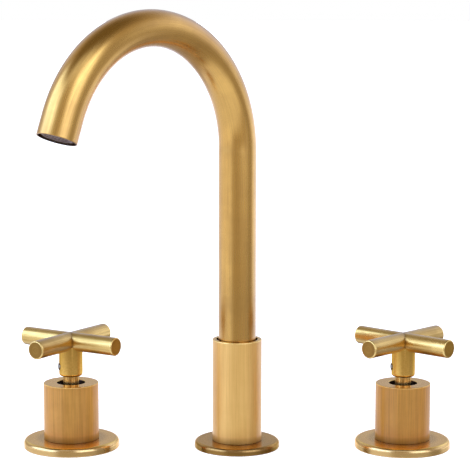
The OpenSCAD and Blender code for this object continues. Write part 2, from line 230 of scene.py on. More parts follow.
def refine(stations, step, inside):
    """Extra stations, at most step apart, on the stretches whose middle is inside(r, place)."""
    out = []
    for i, a in enumerate(stations):
        b = stations[(i + 1) % len(stations)]
        out.append(a)
        gap = math.hypot(b[0] - a[0], b[1] - a[1])
        if gap > step and inside((a[0] + b[0]) / 2, (a[1] + b[1]) / 2):
            n = math.ceil(gap / step)
            for k in range(1, n):
                t = k / n
                out.append((a[0] + (b[0] - a[0]) * t, a[1] + (b[1] - a[1]) * t, 0.0, a[3]))
    return out


def darken(stations, amount, inside, nearness):
    """Browns the stations that are inside(r, place) by amount times nearness(r, place), 0 to 1."""
    out = []
    for r, z, wear_and_shade, material in stations:
        if inside(r, z):
            wear_and_shade = min(wear_and_shade, 0.0) - amount * min(max(nearness(r, z), 0.0), 1.0)
        out.append((r, z, wear_and_shade, material))
    return out


def folded(k, segments):
    """Counts up half way round and down again, so that a grain runs on without a seam."""
    return min(k, segments - k)


def ring(place, s, count, radius):
    """A ring of points round the axis at s, with radius(angle) as their distance from it."""
    centre, first, second = place.at(s)
    points = []
    for k in range(count):
        a = 2 * math.pi * k / count
        points.append(centre + (first * math.cos(a) + second * math.sin(a)) * radius(a))
    return points


def lathe(name, stations, place=None, segments=128, shape=None, materials=()):
    """A closed ring-shaped surface: each station is turned about the axis that place gives.

    shape(r, z, angle) may change a vertex's radius, for threads and hexagons. UVs are in
    metres: round the axis, and along the outline.
    """
    place = place or Straight()
    rings = len(stations)
    vertices = []
    for r, z, _, _ in stations:
        vertices += ring(place, z, segments, lambda a: shape(r, z, a) if shape else r)
    faces = []
    for i in range(rings):
        j = (i + 1) % rings
        for k in range(segments):
            m = (k + 1) % segments
            faces.append((i * segments + k, i * segments + m, j * segments + m, j * segments + k))
    mesh = bpy.data.meshes.new(name)
    mesh.from_pydata(vertices, [], faces)
    along = [0.0]
    for i in range(rings):
        a, b = stations[i], stations[(i + 1) % rings]
        along.append(along[-1] + math.hypot(b[0] - a[0], b[1] - a[1]))
    widest = max(s[0] for s in stations)
    uv = mesh.uv_layers.new(name="UVMap")
    turn = 2 * math.pi * widest / segments
    flat = []
    for i in range(rings):
        for k in range(segments):
            for dk, di in ((0, 0), (1, 0), (1, 1), (0, 1)):
                flat += [folded(k + dk, segments) * turn, along[i + di]]
    uv.data.foreach_set("uv", flat)
    wear_and_shade = mesh.attributes.new("wear_and_shade", "FLOAT", "POINT")
    wear_and_shade.data.foreach_set("value", [s[2] for s in stations for _ in range(segments)])
    for material in materials:
        mesh.materials.append(material)
    index = [s[3] for s in stations for _ in range(segments)]
    mesh.polygons.foreach_set("material_index", index)
    return finish_mesh(name, mesh)


def finish_mesh(name, mesh):
    """Outward normals, smooth shading with sharp creases, and an object to hold the mesh."""
    bm = bmesh.new()
    bm.from_mesh(mesh)
    bmesh.ops.recalc_face_normals(bm, faces=bm.faces)
    bm.to_mesh(mesh)
    bm.free()
    mesh.polygons.foreach_set("use_smooth", [True] * len(mesh.polygons))
    mesh.set_sharp_from_angle(angle=SHARP)
    piece = bpy.data.objects.new(name, mesh)
    bpy.context.scene.collection.objects.link(piece)
    return piece


def combine(piece, other, operation):
    """Joins or cuts piece with other, which is used up."""
    modifier = piece.modifiers.new("combine", "BOOLEAN")
    modifier.operation = operation
    modifier.solver = "EXACT"
    modifier.material_mode = "TRANSFER"
    modifier.object = other
    bpy.context.view_layer.update()
    graph = bpy.context.evaluated_depsgraph_get()
    mesh = bpy.data.meshes.new_from_object(piece.evaluated_get(graph), depsgraph=graph)
    piece.modifiers.clear()
    old = piece.data
    piece.data = mesh
    mesh.name = old.name
    bpy.data.meshes.remove(old)
    bpy.data.objects.remove(other)
    piece.data.set_sharp_from_angle(angle=SHARP)


def plug(name, r, low, high, place, n=64):
    """A closed cylinder, or a prism with n sides, to join or cut with."""
    vertices = ring(place, low, n, lambda a: r) + ring(place, high, n, lambda a: r)
    faces = [(k, (k + 1) % n, n + (k + 1) % n, n + k) for k in range(n)]
    faces += [tuple(range(n - 1, -1, -1)), tuple(range(n, 2 * n))]
    mesh = bpy.data.meshes.new(name)
    mesh.from_pydata(vertices, [], faces)
    return finish_mesh(name, mesh)


def threaded(name, corners, runs, place=None, segments=72):
    """A turned brass piece with a thread on each run (pitch, low, high, outside radius)."""

    def run_at(r, z):
        """The thread that the outline carries at (r, z), or None."""
        for run in runs:
            if run[1] <= z <= run[2] and abs(r - run[3]) < 0.02 * MM:
                return run
        return None

    def shape(r, z, angle):
        """The radius with the thread's groove cut in, shallower towards the thread's ends."""
        run = run_at(r, z)
        if not run:
            return r
        pitch, low, high, _ = run
        depth, slope, crest = 0.5 * pitch, 2.6, 0.15
        phase = (z / pitch - angle / (2 * math.pi)) % 1.0
        wave = min(1.0, max(0.0, slope * abs(phase - 0.5) - crest))
        fade = min(1.0, (z - low) / pitch, (high - z) / pitch)
        return r - depth * wave * max(fade, 0.0)

    fine = min(run[0] for run in runs) / 6
    stations = refine(rounded(corners, 3), fine, run_at)
    return lathe(name, stations, place, segments, shape, [BARE])


def add(piece, body, slot, node_name):
    """The finished piece rides on a body and stands for a CAD node."""
    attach(piece, body)
    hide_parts(node_name)


# ---- materials ----

def node(tree, kind, **values):
    """A shader node with its properties and inputs set by name."""
    made = tree.nodes.new(kind)
    for key, value in values.items():
        if hasattr(made, key):
            setattr(made, key, value)
        else:
            made.inputs[key.replace("_", " ")].default_value = value
    return made


def arithmetic(tree, kind, *operands):
    """One step of arithmetic on numbers or outputs."""
    made = node(tree, "ShaderNodeMath", operation=kind)
    for socket, value in zip(made.inputs, operands):
        if isinstance(value, (int, float)):
            socket.default_value = value
        else:
            tree.links.new(value, socket)
    return made.outputs[0]


def blend(tree, factor, a, b):
    """A colour from a at factor 0 to b at factor 1; each is a colour or an output."""
    made = node(tree, "ShaderNodeMix", data_type="RGBA")
    tree.links.new(factor, made.inputs["Factor"])
    colours = [s for s in made.inputs if s.type == "RGBA"]
    for socket, value in zip(colours, (a, b)):
        if isinstance(value, tuple):
            socket.default_value = (*value, 1.0)
        else:
            tree.links.new(value, socket)
    return [s for s in made.outputs if s.type == "RGBA"][0]


class Shader:
    """A material with a Principled shader and short ways to wire up noise."""

    def __init__(self, name):
        self.material = bpy.data.materials.new(name)
        self.material.use_nodes = True
        self.tree = self.material.node_tree
        self.bsdf = self.tree.nodes["Principled BSDF"]

    def link(self, a, b):
        """Wires an output to an input."""
        self.tree.links.new(a, b)

    def coords(self, scale, source="Object"):
        """Coordinates in metres times scale: of the object, or round and along its outline."""
        if source == "UV":
            tex = node(self.tree, "ShaderNodeUVMap", uv_map="UVMap").outputs[0]
        else:
            tex = self.tree.nodes.new("ShaderNodeTexCoord").outputs["Object"]
        mapping = node(self.tree, "ShaderNodeMapping", Scale=scale)
        self.link(tex, mapping.inputs["Vector"])
        return mapping.outputs[0]

    def noise(self, coords, detail=3.0, rough=0.55, scale=1.0):
        """Noise about 0.5."""
        made = node(self.tree, "ShaderNodeTexNoise", Scale=scale, Detail=detail, Roughness=rough)
        self.link(coords, made.inputs["Vector"])
        return made.outputs["Fac"]

    def ramp(self, value, low, high, out_low=0.0, out_high=1.0):
        """Maps low to high onto out_low to out_high, and stays within them."""
        limits = {"From Min": low, "From Max": high, "To Min": out_low, "To Max": out_high}
        made = node(self.tree, "ShaderNodeMapRange")
        for key, number in limits.items():
            made.inputs[key].default_value = number
        self.link(value, made.inputs["Value"])
        return made.outputs[0]

    def math(self, kind, a, b):
        return arithmetic(self.tree, kind, a, b)

    def mix(self, factor, a, b):
        return blend(self.tree, factor, a, b)

    def attribute(self, name):
        """A number that the mesh carries at each vertex, or 0 where it has none."""
        return node(self.tree, "ShaderNodeAttribute", attribute_name=name).outputs["Fac"]

    def bump(self, height, strength, distance):
        """Makes the height show as relief."""
        made = node(self.tree, "ShaderNodeBump", Strength=strength, Distance=distance)
        self.link(height, made.inputs["Height"])
        self.link(made.outputs[0], self.bsdf.inputs["Normal"])


LACQUER = {"Coat Weight": 0.5, "Coat Roughness": 0.22, "Coat IOR": 1.5}
NO_LACQUER = {}
# the brown that a mesh's negative per-vertex values mix in: painted shade at the collars' feet, round the flanges'
# collars and in the handles' mitre creases, and a darker lower leg on the tube
DARKENING_BROWN = (0.13, 0.055, 0.010)
HAIR_WIDTH = 0.4 * MM
HAIR_LENGTH = 45 * MM

# The tint of reflections at a grazing angle
WHITE = (1.0, 1.0, 1.0)
WARM_RIM = (1.0, 0.76, 0.42)
PALE_RIM = (0.92, 0.78, 0.54)
SHADED_RIM = (0.22, 0.14, 0.09)


def brass(name, colour, dark, rough, grain="along", streak=0.35, anisotropic=0.5, spread=0.10,
          relief=0.5, patina=0.55, rim_tint=WHITE, lacquer=LACQUER):
    """Antique brass with a brushed or turned grain and browner clouds.

    The grain runs along the piece's axis or round it. streak and patina are how much the grain
    and the clouds brown the metal, spread is how far its roughness varies and relief how strongly
    the grain stands out. The wear and shade attribute polishes worn edges where it is above 0. Where
    it is below 0 it darkens the metal to brown: painted shade at the collars' feet, round them on the flanges and
    in the mitre creases, and the tube's darker lower leg.
    """
    s = Shader(name)
    fine, long = 1 / HAIR_WIDTH, 1 / HAIR_LENGTH
    scale = (fine, long, 1) if grain == "along" else (long, fine, 1)
    broad = (fine / 4, long, 1) if grain == "along" else (long, fine / 4, 1)
    hair = s.noise(s.coords(scale, "UV"), detail=2.5)
    band = s.noise(s.coords(broad, "UV"), detail=2.0)
    cloud = s.noise(s.coords((1, 1, 1)), detail=4.0, rough=0.6, scale=38.0)
    drift = s.noise(s.coords((1, 1, 1)), detail=2.0, rough=0.5, scale=13.0)
    speck = s.noise(s.coords((1, 1, 1)), detail=2.0, rough=0.5, scale=900.0)
    grains = s.math("ADD", s.math("MULTIPLY", hair, 0.55), s.math("MULTIPLY", band, 0.45))
    clouded = s.ramp(cloud, 0.35, 0.72, 0.0, patina)
    tint = s.math("ADD", clouded, s.ramp(grains, 0.42, 0.62, 0.0, streak))
    tint = s.math("ADD", tint, s.ramp(drift, 0.42, 0.62, 0.0, 0.5 * patina))
    tint = s.math("ADD", tint, s.ramp(speck, 0.68, 0.80, 0.0, 0.25))
    base = s.mix(tint, colour, dark)
    bright = tuple(min(1.0, c * 1.12 + 0.02) for c in colour)
    wear_and_shade = s.attribute("wear_and_shade")
    edge = s.math("MULTIPLY", s.math("MAXIMUM", wear_and_shade, 0.0), s.ramp(speck, 0.35, 0.6, 0.35, 0.9))
    # painted shade: below 0 the attribute darkens the colour towards a brown
    darkening = s.math("MULTIPLY", s.math("MAXIMUM", s.math("MULTIPLY", wear_and_shade, -1.0), 0.0), 0.85)
    s.link(s.mix(darkening, s.mix(edge, base, bright), DARKENING_BROWN), s.bsdf.inputs["Base Color"])
    s.bsdf.inputs["Metallic"].default_value = 1.0
    s.bsdf.inputs["Specular Tint"].default_value = (*rim_tint, 1.0)
    roughness = s.math("ADD", s.ramp(grains, 0.35, 0.68, rough - spread / 2, rough + spread / 2),
                       s.ramp(s.math("ADD", cloud, drift), 0.75, 1.30, -0.05, 0.07))
    worn = s.math("SUBTRACT", roughness, s.math("MULTIPLY", edge, 0.08))
    s.link(s.math("ADD", worn, s.math("MULTIPLY", darkening, 0.12)), s.bsdf.inputs["Roughness"])
    s.bsdf.inputs["Anisotropic"].default_value = anisotropic
    if grain == "round":
        s.bsdf.inputs["Anisotropic Rotation"].default_value = 0.25
    for key, value in lacquer.items():
        s.bsdf.inputs[key].default_value = value
    tangent = node(s.tree, "ShaderNodeTangent", direction_type="UV_MAP", uv_map="UVMap")
    s.link(tangent.outputs[0], s.bsdf.inputs["Tangent"])
    s.bump(grains, relief, 0.012 * MM)
    return s.material


def plain(name, colour, dark, rough, metallic=0.0, scale=60.0, bump=0.02, spread=0.12, fleck=0.3,
          shine=0.5, rim_tint=WHITE):
    """A cast, moulded or machined surface with uneven colour, roughness and a fine texture.

    scale is that of the clouds, bump the texture's height in mm and fleck how much its grit
    browns or shades the surface.
    """
    s = Shader(name)
    cloud = s.noise(s.coords((1, 1, 1)), detail=4.0, scale=scale)
    grit = s.noise(s.coords((1, 1, 1)), detail=3.0, scale=scale * 28)
    tint = s.math("ADD", s.ramp(cloud, 0.35, 0.7), s.ramp(grit, 0.55, 0.75, 0.0, fleck))
    s.link(s.mix(tint, colour, dark), s.bsdf.inputs["Base Color"])
    s.bsdf.inputs["Metallic"].default_value = metallic
    s.bsdf.inputs["Specular IOR Level"].default_value = shine
    s.bsdf.inputs["Specular Tint"].default_value = (*rim_tint, 1.0)
    s.link(s.ramp(s.math("ADD", cloud, s.math("MULTIPLY", grit, 0.5)), 0.5, 1.0, rough - spread / 2,
                  rough + spread / 2), s.bsdf.inputs["Roughness"])
    s.bump(grit, 0.4, bump * MM)
    return s.material


# Each look is given its colour, its browner colour and its roughness.
TUBE = brass("tube_brass", (0.88, 0.455, 0.085), (0.52, 0.24, 0.04), 0.265,
             streak=0.3, spread=0.08, patina=0.5)
COLLAR = brass("spout_collar_brass", (1.0, 0.555, 0.14), (0.80, 0.41, 0.085), 0.5,
               streak=0.5, anisotropic=0.4, relief=0.35, patina=0.35)
SLEEVE = brass("valve_collar_brass", (0.96, 0.48, 0.09), (0.68, 0.31, 0.05), 0.70,
               streak=0.5, anisotropic=0.85, relief=0.35, patina=0.4)
TURNED = brass("turned_brass", (0.98, 0.55, 0.13), (0.72, 0.38, 0.08), 0.19, grain="round",
               streak=0.3, anisotropic=0.3, spread=0.06, relief=0.15, rim_tint=PALE_RIM)
VALVE_RIM = brass("valve_flange_rim", (0.72, 0.41, 0.12), (0.58, 0.32, 0.08), 0.24, grain="round",
                  streak=0.3, anisotropic=0.2, spread=0.06, relief=0.1, rim_tint=WARM_RIM)
# painted shade: the spout flange's top and rim are much darker copies of the valve flanges' brass; on the top they
# stand in for the collar's dark reflection
SHADED_SPOUT_FLANGE = brass("shaded_spout_flange_brass", (0.48, 0.235, 0.04), (0.34, 0.165, 0.025), 0.19,
                     grain="round", streak=0.3, anisotropic=0.3, spread=0.06, relief=0.15,
                     rim_tint=WARM_RIM)
SHADED_SPOUT_RIM = brass("shaded_spout_flange_rim", (0.38, 0.185, 0.04), (0.25, 0.12, 0.024), 0.27,
                  grain="round", streak=0.4, anisotropic=0.2, spread=0.06, relief=0.1,
                  rim_tint=PALE_RIM, lacquer=NO_LACQUER)
HANDLE = brass("handle_brass", (0.89, 0.54, 0.14), (0.54, 0.29, 0.05), 0.30,
               streak=0.7, anisotropic=0.6, patina=0.65)
# partly painted shade: the neck has its own turned finish, and its colour is darker than the arms' brass to stand
# in for their shade on it
SHADED_NECK = brass("shaded_handle_neck_brass", (0.72, 0.38, 0.065), (0.48, 0.235, 0.04), 0.36,
                  streak=0.5, anisotropic=0.7, rim_tint=WARM_RIM, lacquer=NO_LACQUER)
# painted shade: the arms' end faces and the neck's underside are darker copies of the handle brass
SHADED_END = brass("shaded_arm_end_brass", (0.41, 0.20, 0.04), (0.30, 0.145, 0.028), 0.40, grain="round",
                streak=0.4, anisotropic=0.3, rim_tint=WARM_RIM, lacquer=NO_LACQUER)
# painted shade: the bores and the insides of the tube and the collars are near-black brass for the shade inside
# them
SHADED_BORE = brass("shaded_bore", (0.09, 0.05, 0.03), (0.05, 0.03, 0.018), 0.5, grain="round",
                  streak=0.4, rim_tint=SHADED_RIM, lacquer=NO_LACQUER)
BARE = brass("bare_brass", (0.78, 0.58, 0.24), (0.60, 0.42, 0.16), 0.27, grain="round",
             streak=0.4, anisotropic=0.3)
SHADED_BRASS = plain("shaded_brass", (0.16, 0.085, 0.03), (0.08, 0.045, 0.018), 0.4,
                     metallic=1.0, rim_tint=SHADED_RIM)
SPINDLE_BRASS = plain("spindle_brass", (0.74, 0.46, 0.15), (0.48, 0.28, 0.08), 0.3, metallic=1.0)
SLOT_LOOKS = {
    "brushed_brass": TUBE,
    "plain_brass": plain("machined_brass", (0.78, 0.58, 0.24), (0.60, 0.42, 0.16), 0.26,
                         metallic=1.0),
    "steel": plain("bright_steel", (0.46, 0.37, 0.26), (0.26, 0.21, 0.15), 0.30,
                   metallic=1.0, bump=0.01),
    "black_rubber": plain("black_rubber", (0.018, 0.018, 0.02), (0.04, 0.04, 0.042), 0.62,
                          bump=0.05),
    "ceramic": plain("white_ceramic", (0.86, 0.85, 0.81), (0.74, 0.72, 0.67), 0.18, bump=0.005),
    "grey_plastic": plain("grey_acetal", (0.22, 0.155, 0.13), (0.14, 0.095, 0.08), 0.42,
                          shine=0.3),
    "white_plastic": plain("white_bush", (0.80, 0.78, 0.71), (0.66, 0.64, 0.57), 0.45),
    "fibre": plain("red_fibre", (0.26, 0.07, 0.04), (0.15, 0.04, 0.025), 0.7, bump=0.06),
    "foam_gasket": plain("foam_gasket", (0.62, 0.60, 0.54), (0.44, 0.42, 0.37), 0.9,
                         bump=0.12, scale=160.0),
}


# ---- spout ----

def make_tube():
    """The bent pipe, with a finely rounded lip at the outlet and its lower leg a bit browner.

    The lip ends just inside the CAD's tube, so that it stays within the CAD's box.
    """
    lip, inset = 0.7 * MM, 0.25 * MM
    dark_top, dark_fade = 100 * MM, 50 * MM
    end = TUBE_AXIS.length - inset
    outline = rounded([
        (TUBE_R, 0.0, 0.25 * MM, 0), (TUBE_R, end, 0.45 * MM, 0), (TUBE_R - lip, end, 0, 1),
        (TUBE_BORE_R, end, 0.25 * MM, 1), (TUBE_BORE_R, 0.0, 0.25 * MM, 0),
    ])
    outline = refine(outline, 1.6 * MM, lambda r, s: s < TUBE_AXIS.leg + TUBE_AXIS.arc)
    # the outside of the lower leg darkens to brown towards the foot
    outline = darken(outline, 0.25, lambda r, s: r > TUBE_BORE_R + 0.3 * MM,
                   lambda r, s: (dark_top - s) / dark_fade)

    def pressed(r, s, angle):
        """Bending has flattened the inside of the bend, most before the top of the arch."""
        in_bend = min(max((s - TUBE_AXIS.leg) / TUBE_AXIS.arc, 0.0), 1.0)
        amount = BEND_OVALITY * math.sin(math.pi * in_bend ** 0.75)
        return r * (1 - amount * max(math.cos(angle), 0.0) ** 2)

    tube = lathe("gooseneck_tube", outline, TUBE_AXIS, segments=160, shape=pressed,
                 materials=[TUBE, SHADED_BORE])
    add(tube, "spout", "brushed_brass", "spout_tube")


def shade_foot(outline, r, z):
    """Paints shade on the outside of a collar just above the flange that it stands on, as a brown darkening."""
    outline = refine(outline, 0.6 * MM, lambda a, b: a > r - 0.1 * MM and b < z + FOOT_SHADE)
    return darken(outline, 0.6, lambda a, b: a > r - 0.3 * MM and b < z + 2 * FOOT_SHADE,
                lambda a, b: 1 - (b - z) / FOOT_SHADE)


def set_screw_axis():
    """The axis of the spout's set screw, level and straight to the back."""
    return Straight((0, 0, middle("spout_set_screw")[2]), (0, 1, 0))


def make_spout_collar():
    """The tall sleeve round the tube's foot, with a hole behind for the set screw's key."""
    low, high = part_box("spout_collar")
    r = high.x
    grip = SHANK_R + SLIP
    outline = rounded([
        (r, low.z, 0.2 * MM, 0), (r, low.z + FOOT_SHADE, 0, 0), (r, high.z, 0.6 * MM, 1),
        (SPOUT_COLLAR_BORE_R, high.z, 0.35 * MM, 2), (SPOUT_COLLAR_BORE_R, HEAD_Z, 0.1 * MM, 2),
        (grip, HEAD_Z, 0.1 * MM, 2), (grip, low.z, 0.2 * MM, 2),
    ])
    collar = lathe("spout_collar_sleeve", shade_foot(outline, r, low.z), segments=192,
                   materials=[COLLAR, TURNED, SHADED_BORE])
    combine(collar, plug("access_hole", 2.7 * MM, 0, r * 1.2, set_screw_axis()), "DIFFERENCE")
    add(collar, "deck_fittings", "brushed_brass", "spout_collar")


def make_flange(name, node_name, x, shaded_r, face, rim):
    """A round plate with a softened rim and a recess below, with painted shade darkening it round its collar's
    foot.
    """
    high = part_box(node_name)[1]
    r, t = high.x - x, high.z
    inner = SHANK_R + 0.1 * MM
    seat_r, skirt_r = 15.5 * MM, r - 3.2 * MM
    outline = rounded([
        (inner, t, 0.2 * MM, 0), (inner, 0.0, 0.2 * MM, 0), (seat_r, 0.0, 0.1 * MM, 0),
        (seat_r, FLANGE_RECESS, 0.1 * MM, 0), (skirt_r, FLANGE_RECESS, 0.1 * MM, 0),
        (skirt_r, 0.0, 0.1 * MM, 0), (r, 0.0, 0.6 * MM, 1), (r, t, 0.52 * t, 0),
    ], 9)
    outline = refine(outline, 0.8 * MM, lambda a, b: b > t - 0.1 * MM)
    # painted shade: the top darkens to brown towards the foot of the collar that stands on it
    outline = darken(outline, 0.45, lambda a, b: b > t - 0.1 * MM and a > inner + 0.5 * MM,
                   lambda a, b: 1 - (a - shaded_r) / (3.5 * MM))
    flange = lathe(name, outline, Straight((x, 0, 0)), segments=192, materials=[face, rim])
    add(flange, "deck_fittings", "brushed_brass", node_name)


# ---- valves ----

def make_valve_collar(side):
    """The short sleeve over a valve, with the open top that its spindle stands in."""
    x = VALVE_X[side]
    low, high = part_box(side + "_collar")
    r, top = high.x - x, high.z
    hole_r, grip = 8.6 * MM, SHANK_R + SLIP
    inner, plate_z, step_z = r - 2 * MM, top - 3 * MM, 14 * MM
    outline = rounded([
        (r, low.z, 0.2 * MM, 0), (r, low.z + FOOT_SHADE, 0, 0), (r, top, 0.5 * MM, 1),
        (hole_r, top, 0.5 * MM, 2), (hole_r, plate_z, 0.2 * MM, 2), (inner, plate_z, 0.3 * MM, 2),
        (inner, step_z, 0.2 * MM, 2), (grip, step_z, 0.2 * MM, 2), (grip, low.z, 0.2 * MM, 2),
    ])
    collar = lathe(side + "_valve_collar", shade_foot(outline, r, low.z), Straight((x, 0, 0)),
                   segments=192, materials=[SLEEVE, TURNED, SHADED_BORE])
    add(collar, "deck_fittings", "brushed_brass", side + "_collar")


def arm_stations():
    """The stations of an arm from the mitre out to its end face: (scale, place, wear and painted shade).

    Returns them with the number of the first ones, which follow the mitre and carry painted shade
    in its crease. The others are flat rings.
    """
    edge, steps = 0.75 * MM, 5
    # painted shade: the first stations darken the mitre's crease to brown
    stations = [(1.0, 0.0, -0.5), (1.0, 0.45 * MM, -0.35), (1.0, 1.6 * MM, 0.0)]
    mitred = len(stations)
    stations += [(1.0, BAR_R * 1.5, 0.0), (1.0, BAR_HALF - edge - HOLD, 0.0)]
    for k in range(steps + 1):
        a = math.pi / 2 * k / steps
        scale = (BAR_R - edge + edge * math.cos(a)) / BAR_R
        stations.append((scale, BAR_HALF - edge + edge * math.sin(a), FILLET_WEAR))
    face_scale = (BAR_R - edge - 0.3 * MM) / BAR_R
    # the end face's outer ring is a little darker
    stations += [(face_scale, BAR_HALF, -0.2), (0.45, BAR_HALF, 0.0), (0.15, BAR_HALF, 0.0)]
    return stations, mitred


def cross_mesh(name, centre, angle, segments=96):
    """Two equal bars that cross at a right angle and meet in clean mitres."""
    stations, mitred = arm_stations()
    end_strip = len(stations) - 4       # from here on the strips have the look of the end face
    along = [0.0]
    for a, b in zip(stations, stations[1:]):
        along.append(along[-1] + math.hypot(b[1] - a[1], (b[0] - a[0]) * BAR_R))
    bm = bmesh.new()
    wear_and_shade = bm.verts.layers.float.new("wear_and_shade")
    uv = bm.loops.layers.uv.new("UVMap")
    for arm in range(4):
        turn = Matrix.Rotation(angle + arm * math.pi / 2, 3, "Z")
        rings = []
        for i, (scale, place, worn) in enumerate(stations):
            row = []
            for k in range(segments):
                a = 2 * math.pi * k / segments
                y, z = BAR_R * scale * math.cos(a), BAR_R * scale * math.sin(a)
                x = abs(y) + place if i < mitred else place
                vert = bm.verts.new(turn @ Vector((x, y, z)) + centre)
                vert[wear_and_shade] = worn
                row.append(vert)
            rings.append(row)
        for i in range(len(rings) - 1):
            for k in range(segments):
                m = (k + 1) % segments
                face = bm.faces.new((rings[i][k], rings[i][m], rings[i + 1][m], rings[i + 1][k]))
                face.material_index = 1 if i >= end_strip else 0
                for loop, (dk, di) in zip(face.loops, ((0, 0), (1, 0), (1, 1), (0, 1))):
                    round_bar = folded(k + dk, segments) * 2 * math.pi * BAR_R / segments
                    loop[uv].uv = (round_bar, along[i + di])
        bm.faces.new(rings[-1]).material_index = 1
    bmesh.ops.remove_doubles(bm, verts=bm.verts, dist=1e-6)
    mesh = bpy.data.meshes.new(name)
    bm.to_mesh(mesh)
    bm.free()
    mesh.materials.append(HANDLE)
    mesh.materials.append(SHADED_END)
    return finish_mesh(name, mesh)


def grub_axis(side, low, bars_z):
    """The grub screw's axis: out of the valve's axis, between two arms."""
    z = (low + bars_z - BAR_R) / 2 - 2 * MM
    a = ARM_ANGLE[side] + math.radians(225)
    return Straight((VALVE_X[side], 0, z), (math.cos(a), math.sin(a), 0), (0, 0, 1))


def make_handle(side):
    """The cross on its neck, bored for the spindle, and the grub screw that holds it there."""
    x = VALVE_X[side]
    low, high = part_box(side + "_cross_handle")
    bars_z = high.z - BAR_R
    neck_top = bars_z - 2.8 * MM
    upright = Straight((x, 0, 0))
    cross = cross_mesh(side + "_handle_cross", Vector((x, 0, bars_z)), ARM_ANGLE[side])
    neck = lathe("neck", rounded([
        (PIN_R, low.z, 0, 1), (HANDLE_NECK_R, low.z, 1.6 * MM, 0),
        (HANDLE_NECK_R, neck_top, 0.1 * MM, 0), (PIN_R, neck_top, 0, 0),
    ]), upright, segments=96, materials=[SHADED_NECK, SHADED_END])
    combine(cross, neck, "UNION")
    bore_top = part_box(side + "_spindle")[1].z + 0.5 * MM
    combine(cross, plug("bore", 4.9 * MM, low.z - MM, bore_top, upright), "DIFFERENCE")
    screw = grub_axis(side, low.z, bars_z)
    outside = HANDLE_NECK_R + MM
    sink = HANDLE_NECK_R - 0.9 * MM
    combine(cross, plug("screw_hole", SCREW_HOLE_R, 0, outside, screw), "DIFFERENCE")
    combine(cross, plug("screw_sink", 2.6 * MM, sink, outside, screw), "DIFFERENCE")
    add(cross, side + "_handle", "brushed_brass", side + "_cross_handle")
    screw_r, core_r = 2 * MM, 0.2 * MM
    point, tip = 4.85 * MM, HANDLE_NECK_R + 0.6 * MM
    grub = lathe(side + "_handle_screw", rounded([
        (core_r, point, 0, 0), (screw_r, point, 0.3 * MM, 0), (screw_r, tip, 0.35 * MM, 0),
        (core_r, tip, 0, 0),
    ]), screw, segments=48, materials=[SLOT_LOOKS["steel"]])
    combine(grub, plug("socket", 1.15 * MM, tip - 1.8 * MM, tip + MM, screw, 6), "DIFFERENCE")
    add(grub, side + "_handle", "steel", side + "_grub_screw")


# ---- below the deck ----

def port_axis(x, z, azimuth):
    """The axis of a hose port at height z that points to the azimuth, in degrees from +X."""
    a = math.radians(azimuth)
    return Straight((x, 0, z), (math.cos(a), math.sin(a), 0), (0, 0, 1))


def add_port(body, place, reach, bore_r, bore_start):
    """Joins a threaded hose port with its boss to body, and bores it."""
    boss_r, boss_end, port_r, start = 10.2 * MM, 15.5 * MM, 8.33 * MM, 4 * MM
    port = threaded("port", [
        (PIN_R, start, 0, 0), (boss_r, start, 0, 0), (boss_r, boss_end, 0.5 * MM, 0),
        (port_r, boss_end, 0.2 * MM, 0), (port_r, reach, 0.6 * MM, 0), (PIN_R, reach, 0, 0),
    ], [(PITCH_PORT, boss_end + MM, reach - 0.6 * MM, port_r)], place, 60)
    combine(body, port, "UNION")
    combine(body, plug("port_bore", bore_r, bore_start, reach + MM, place, 48), "DIFFERENCE")


def make_spout_shank():
    """The threaded pipe below the spout, with a wider head that holds the swivel."""
    low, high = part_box("spout_shank")
    spigot_r, spigot_top = 9.5 * MM, -47 * MM
    head_r = SPOUT_COLLAR_BORE_R - 0.1 * MM
    swivel_r, swivel_floor, water_r = 8 * MM, 6 * MM, 6 * MM
    shank = threaded("spout_threaded_shank", [
        (water_r, low.z, 0.3 * MM, 0), (spigot_r, low.z, 0.4 * MM, 0),
        (spigot_r, spigot_top, 0.1 * MM, 0), (SHANK_R, spigot_top, 0.8 * MM, 0),
        (SHANK_R, HEAD_Z, 0.3 * MM, 0), (head_r, HEAD_Z, 0.1 * MM, 0),
        (head_r, high.z, 0.5 * MM, 0), (swivel_r, high.z, 0.4 * MM, 0),
        (swivel_r, swivel_floor, 0.1 * MM, 0), (water_r, swivel_floor, 0.2 * MM, 0),
    ], [(PITCH_SHANK, spigot_top + 0.8 * MM, THREAD_TOP, SHANK_R)])
    hole = plug("screw_hole", SCREW_HOLE_R, 0, head_r + MM, set_screw_axis(), 32)
    combine(shank, hole, "DIFFERENCE")
    add(shank, "deck_fittings", "plain_brass", "spout_shank")


def make_tee():
    """The fitting below the spout's shank that joins the hot and the cold hose."""
    low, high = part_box("spout_tee")
    body_r, socket_r, socket_floor, water_r = 13 * MM, 9.55 * MM, -57 * MM, 6 * MM
    port_z, port_bore_r = -65 * MM, 5 * MM
    water_floor = port_z - port_bore_r
    tee = lathe("spout_supply_tee", rounded([
        (PIN_R, low.z, 0, 0), (body_r, low.z, 1.2 * MM, 0), (body_r, high.z, 0.8 * MM, 0),
        (socket_r, high.z, 0.4 * MM, 0), (socket_r, socket_floor, 0.1 * MM, 0),
        (water_r, socket_floor, 0.2 * MM, 0), (water_r, water_floor, 0.3 * MM, 0),
        (PIN_R, water_floor, 0, 0),
    ]), segments=96, materials=[BARE])
    sunk = 0.02 * MM
    combine(tee, plug("floor", MM, low.z + sunk, water_floor - sunk, Straight()), "UNION")
    for azimuth in PORT_AZIMUTH.values():
        add_port(tee, port_axis(0, port_z, azimuth), 33 * MM, port_bore_r, 3 * MM)
    add(tee, "deck_fittings", "plain_brass", "spout_tee")


